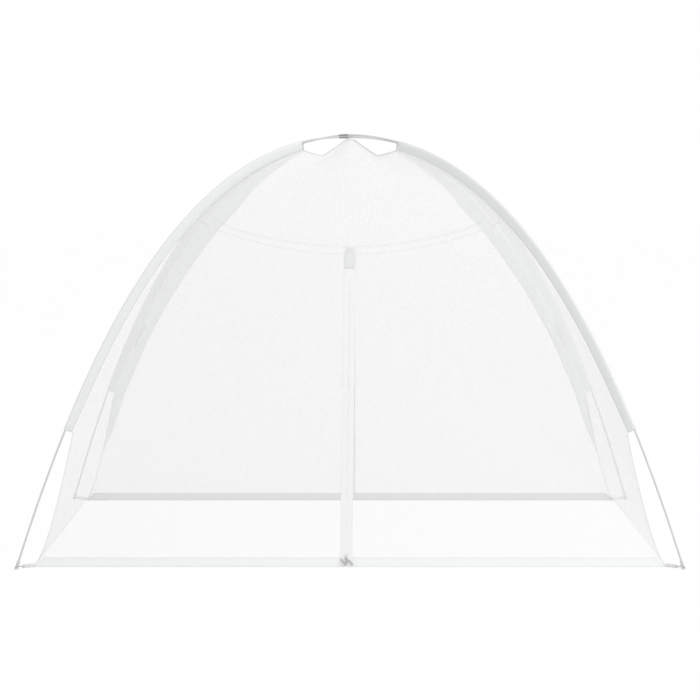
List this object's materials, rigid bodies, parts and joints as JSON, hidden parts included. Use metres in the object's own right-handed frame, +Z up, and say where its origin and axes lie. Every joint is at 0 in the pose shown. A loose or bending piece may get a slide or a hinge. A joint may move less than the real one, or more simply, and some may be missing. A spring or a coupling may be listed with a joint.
{
  "type": "mosquito net tent",
  "caption": "Self-standing bottomless mosquito net tent: crossed sprung poles in sleeves over white netting, with a zipped door at each end.",
  "frame": {"origin": "on the ground under the pole crossing, in the middle of the footprint", "axes": "+Z up, front door towards -Y, long side along X"},
  "size_m": [2.0006, 1.2002, 1.2998],
  "materials": {
    "netting": "open polyester net",
    "sleeve_cloth": "smooth woven polyester",
    "hem_tape": "smooth woven polyester",
    "zip_tape": "woven tape with a nylon coil",
    "glass_fibre": "satin",
    "zip_metal": "satin die-cast",
    "foot_plastic": "matte",
    "elastic_cord": "braided",
    "shock_cord": "braided",
    "webbing": "woven"
  },
  "bodies": {
    "frame": {"lower_pole_section_1": "glass_fibre", "lower_pole_section_2": "glass_fibre", "lower_pole_section_3": "glass_fibre", "lower_pole_section_4": "glass_fibre", "lower_pole_section_5": "glass_fibre", "lower_pole_section_6": "glass_fibre", "upper_pole_section_1": "glass_fibre", "upper_pole_section_2": "glass_fibre", "upper_pole_section_3": "glass_fibre", "upper_pole_section_4": "glass_fibre", "upper_pole_section_5": "glass_fibre", "upper_pole_section_6": "glass_fibre", "lower_pole_shock_cord": "shock_cord", "upper_pole_shock_cord": "shock_cord", "foot_cap_front_left": "foot_plastic", "foot_cap_front_right": "foot_plastic", "foot_cap_back_left": "foot_plastic", "foot_cap_back_right": "foot_plastic", "sleeve_front_left": "sleeve_cloth", "sleeve_front_right": "sleeve_cloth", "sleeve_back_left": "sleeve_cloth", "sleeve_back_right": "sleeve_cloth", "corner_tab_front_left": "webbing", "corner_tab_front_right": "webbing", "corner_tab_back_left": "webbing", "corner_tab_back_right": "webbing", "corner_loop_front_left": "elastic_cord", "corner_loop_front_right": "elastic_cord", "corner_loop_back_left": "elastic_cord", "corner_loop_back_right": "elastic_cord", "side_net_left": "netting", "side_net_right": "netting", "tie_back_left": "elastic_cord", "tie_back_right": "elastic_cord", "peak_tie": "webbing", "front_net_upper": "netting", "front_seam_band": "hem_tape", "front_zip_patch": "hem_tape", "back_net_upper": "netting", "back_seam_band": "hem_tape", "back_zip_patch": "hem_tape"},
    "front_left_flap": {"front_net_left_flap": "netting", "front_hem_left": "hem_tape", "front_zip_tape_left": "zip_tape"},
    "front_right_flap": {"front_net_right_flap": "netting", "front_hem_right": "hem_tape", "front_zip_tape_right": "zip_tape"},
    "front_slider": {"front_zip_slider": "zip_metal"},
    "front_outer_pull": {"front_pull_outer": "zip_metal"},
    "front_inner_pull": {"front_pull_inner": "zip_metal"},
    "back_left_flap": {"back_net_left_flap": "netting", "back_hem_left": "hem_tape", "back_zip_tape_left": "zip_tape"},
    "back_right_flap": {"back_net_right_flap": "netting", "back_hem_right": "hem_tape", "back_zip_tape_right": "zip_tape"},
    "back_slider": {"back_zip_slider": "zip_metal"},
    "back_outer_pull": {"back_pull_outer": "zip_metal"},
    "back_inner_pull": {"back_pull_inner": "zip_metal"}
  },
  "joints": [
    {"name": "front_left_fold", "type": "hinge", "parent": "frame", "child": "front_left_flap", "pos_m": [-0.94787, -0.56727, 0.00025], "axis": [-0.7192, -0.1846, -0.6698], "range_deg": [0, 90]},
    {"name": "front_right_fold", "type": "hinge", "parent": "frame", "child": "front_right_flap", "pos_m": [0.94787, -0.56727, 0.00025], "axis": [-0.7192, 0.1846, 0.6698], "range_deg": [0, 90]},
    {"name": "front_zip_slide", "type": "slide", "parent": "front_left_flap", "child": "front_slider", "axis": [0.0131, 0.2656, 0.964], "range_m": [0, 0.8636]},
    {"name": "front_outer_pull_swing", "type": "hinge", "parent": "front_slider", "child": "front_outer_pull", "pos_m": [-0.01168, -0.56486, 0.025], "axis": [-0.9999, 0.0035, 0.0126], "range_deg": [0, 150]},
    {"name": "front_inner_pull_swing", "type": "hinge", "parent": "front_slider", "child": "front_inner_pull", "pos_m": [-0.01168, -0.55484, 0.02224], "axis": [0.9999, -0.0035, -0.0126], "range_deg": [-15, 150]},
    {"name": "back_left_fold", "type": "hinge", "parent": "frame", "child": "back_left_flap", "pos_m": [-0.94787, 0.56727, 0.00025], "axis": [0.7192, -0.1846, 0.6698], "range_deg": [0, 90]},
    {"name": "back_right_fold", "type": "hinge", "parent": "frame", "child": "back_right_flap", "pos_m": [0.94787, 0.56727, 0.00025], "axis": [0.7192, 0.1846, -0.6698], "range_deg": [0, 90]},
    {"name": "back_zip_slide", "type": "slide", "parent": "back_left_flap", "child": "back_slider", "axis": [0, -0.2657, 0.9641], "range_m": [0, 0.8636]},
    {"name": "back_outer_pull_swing", "type": "hinge", "parent": "back_slider", "child": "back_outer_pull", "pos_m": [0, 0.56486, 0.025], "axis": [1, 0, 0], "range_deg": [0, 150]},
    {"name": "back_inner_pull_swing", "type": "hinge", "parent": "back_slider", "child": "back_inner_pull", "pos_m": [0, 0.55484, 0.02224], "axis": [-1, 0, 0], "range_deg": [-15, 150]}
  ]
}
